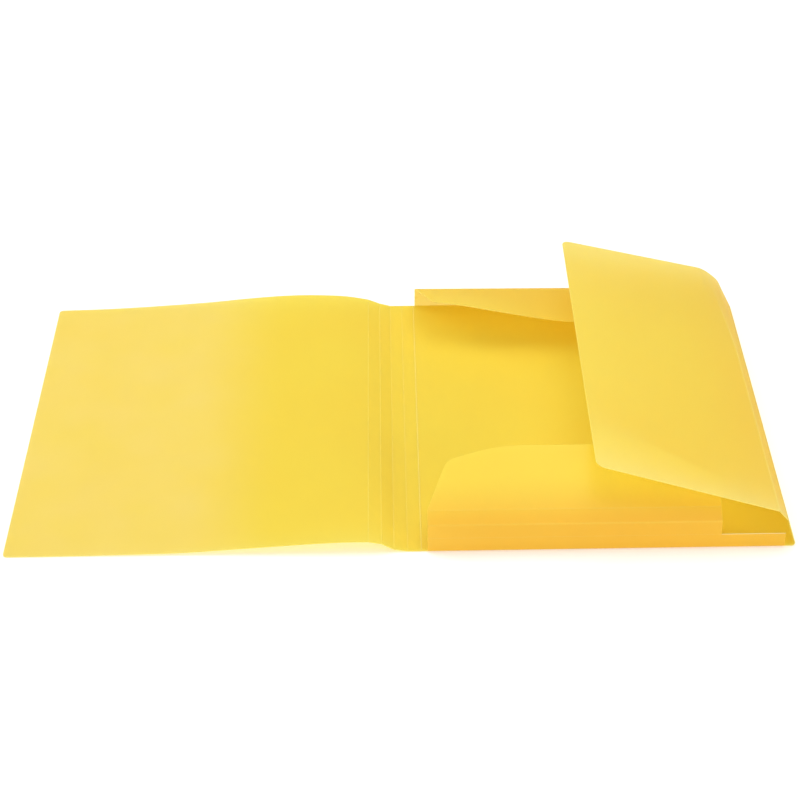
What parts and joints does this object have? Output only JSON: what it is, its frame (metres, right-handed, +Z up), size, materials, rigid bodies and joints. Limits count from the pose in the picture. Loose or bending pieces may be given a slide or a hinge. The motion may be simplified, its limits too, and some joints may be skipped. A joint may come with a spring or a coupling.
{
  "type": "document folder",
  "caption": "Document folder of thin yellow plastic sheet, lying open: bowed cover, creased spine, back panel, and walls with flaps that fold over the papers.",
  "frame": {"origin": "centre of the back panel's underside", "axes": "+X from the spine towards the side flap, +Y towards the top edge of the folder, +Z up off the table"},
  "size_m": [0.5198, 0.3209, 0.0605],
  "materials": {
    "folder_sheet": "hazy translucent polypropylene sheet, satin on both faces"
  },
  "bodies": {
    "back_panel": {"back_panel": "folder_sheet"},
    "spine_strip_1": {"spine_strip_1": "folder_sheet"},
    "spine_strip_2": {"spine_strip_2": "folder_sheet"},
    "spine_strip_3": {"spine_strip_3": "folder_sheet"},
    "spine_strip_4": {"spine_strip_4": "folder_sheet"},
    "front_cover": {"front_cover": "folder_sheet"},
    "side_wall_lower": {"side_wall_lower": "folder_sheet"},
    "side_wall_middle": {"side_wall_middle": "folder_sheet"},
    "side_wall_upper": {"side_wall_upper": "folder_sheet"},
    "side_flap": {"side_flap": "folder_sheet"},
    "bottom_wall_lower": {"bottom_wall_lower": "folder_sheet"},
    "bottom_wall_middle": {"bottom_wall_middle": "folder_sheet"},
    "bottom_wall_upper": {"bottom_wall_upper": "folder_sheet"},
    "bottom_flap": {"bottom_flap": "folder_sheet"},
    "top_wall_lower": {"top_wall_lower": "folder_sheet"},
    "top_wall_middle": {"top_wall_middle": "folder_sheet"},
    "top_wall_upper": {"top_wall_upper": "folder_sheet"},
    "top_flap": {"top_flap": "folder_sheet"}
  },
  "joints": [
    {"name": "spine_crease_1", "type": "hinge", "parent": "back_panel", "child": "spine_strip_1", "pos_m": [-0.1225, 0, 0.0005], "axis": [0, 1, 0], "range_deg": [0, 75]},
    {"name": "spine_crease_2", "type": "hinge", "parent": "spine_strip_1", "child": "spine_strip_2", "pos_m": [-0.1315, 0, 0.0005], "axis": [0, 1, 0], "range_deg": [0, 7.14]},
    {"name": "spine_crease_3", "type": "hinge", "parent": "spine_strip_2", "child": "spine_strip_3", "pos_m": [-0.14049, 0, 0.00097], "axis": [0, 1, 0], "range_deg": [-13.26, 0]},
    {"name": "spine_crease_4", "type": "hinge", "parent": "spine_strip_3", "child": "spine_strip_4", "pos_m": [-0.14858, 0, 0.00492], "axis": [0, 1, 0], "range_deg": [0, 20.4]},
    {"name": "cover_crease", "type": "hinge", "parent": "spine_strip_4", "child": "front_cover", "pos_m": [-0.15723, 0, 0.0074], "axis": [0, 1, 0], "range_deg": [0, 92.77]},
    {"name": "side_crease_1", "type": "hinge", "parent": "back_panel", "child": "side_wall_lower", "pos_m": [0.1225, 0, 0.0005], "axis": [0, -1, 0], "range_deg": [-107, 0]},
    {"name": "side_crease_2", "type": "hinge", "parent": "side_wall_lower", "child": "side_wall_middle", "pos_m": [0.11958, 0, 0.01006], "axis": [0, -1, 0], "range_deg": [0, 14.8]},
    {"name": "side_crease_3", "type": "hinge", "parent": "side_wall_middle", "child": "side_wall_upper", "pos_m": [0.11665, 0, 0.01963], "axis": [0, -1, 0], "range_deg": [-23, 0]},
    {"name": "side_flap_crease", "type": "hinge", "parent": "side_wall_upper", "child": "side_flap", "pos_m": [0.11022, 0, 0.02729], "axis": [0, -1, 0], "range_deg": [-34.7, 0]},
    {"name": "bottom_crease_1", "type": "hinge", "parent": "back_panel", "child": "bottom_wall_lower", "pos_m": [0, -0.16, 0.0005], "axis": [-1, 0, 0], "range_deg": [-90, 0]},
    {"name": "bottom_crease_2", "type": "hinge", "parent": "bottom_wall_lower", "child": "bottom_wall_middle", "pos_m": [0, -0.16, 0.0105], "axis": [-1, 0, 0], "range_deg": [0, 29]},
    {"name": "bottom_crease_3", "type": "hinge", "parent": "bottom_wall_middle", "child": "bottom_wall_upper", "pos_m": [0, -0.16, 0.0205], "axis": [-1, 0, 0], "range_deg": [-53, 0]},
    {"name": "bottom_flap_crease", "type": "hinge", "parent": "bottom_wall_upper", "child": "bottom_flap", "pos_m": [0, -0.15201, 0.02652], "axis": [-1, 0, 0], "range_deg": [-8.6, 0]},
    {"name": "top_crease_1", "type": "hinge", "parent": "back_panel", "child": "top_wall_lower", "pos_m": [0, 0.16, 0.0005], "axis": [1, 0, 0], "range_deg": [-113, 0]},
    {"name": "top_crease_2", "type": "hinge", "parent": "top_wall_lower", "child": "top_wall_middle", "pos_m": [0, 0.15609, 0.00971], "axis": [1, 0, 0], "range_deg": [0, 8.2]},
    {"name": "top_crease_3", "type": "hinge", "parent": "top_wall_middle", "child": "top_wall_upper", "pos_m": [0, 0.15219, 0.01891], "axis": [1, 0, 0], "range_deg": [-39, 0]},
    {"name": "top_flap_crease", "type": "hinge", "parent": "top_wall_upper", "child": "top_flap", "pos_m": [0, 0.14336, 0.0236], "axis": [1, 0, 0], "range_deg": [-20, 0]}
  ],
  "couplings": [
    {"joint": "spine_crease_2", "follows": "spine_crease_1", "ratio": 0.093333},
    {"joint": "spine_crease_3", "follows": "spine_crease_1", "ratio": -0.17333},
    {"joint": "spine_crease_4", "follows": "spine_crease_1", "ratio": 0.26667},
    {"joint": "side_crease_2", "follows": "cover_crease", "ratio": 0.1563},
    {"joint": "bottom_crease_2", "follows": "cover_crease", "ratio": 0.30613},
    {"joint": "top_crease_2", "follows": "cover_crease", "ratio": 0.086234},
    {"joint": "side_crease_3", "follows": "side_crease_1", "ratio": 0.21495},
    {"joint": "side_flap_crease", "follows": "side_crease_1", "ratio": 0.3243},
    {"joint": "bottom_crease_1", "follows": "side_crease_1", "ratio": 0.84112},
    {"joint": "bottom_crease_3", "follows": "side_crease_1", "ratio": 0.49533},
    {"joint": "bottom_flap_crease", "follows": "side_crease_1", "ratio": 0.080373},
    {"joint": "top_crease_1", "follows": "side_crease_1", "ratio": 1.0561},
    {"joint": "top_crease_3", "follows": "side_crease_1", "ratio": 0.36449},
    {"joint": "top_flap_crease", "follows": "side_crease_1", "ratio": 0.18691}
  ]
}
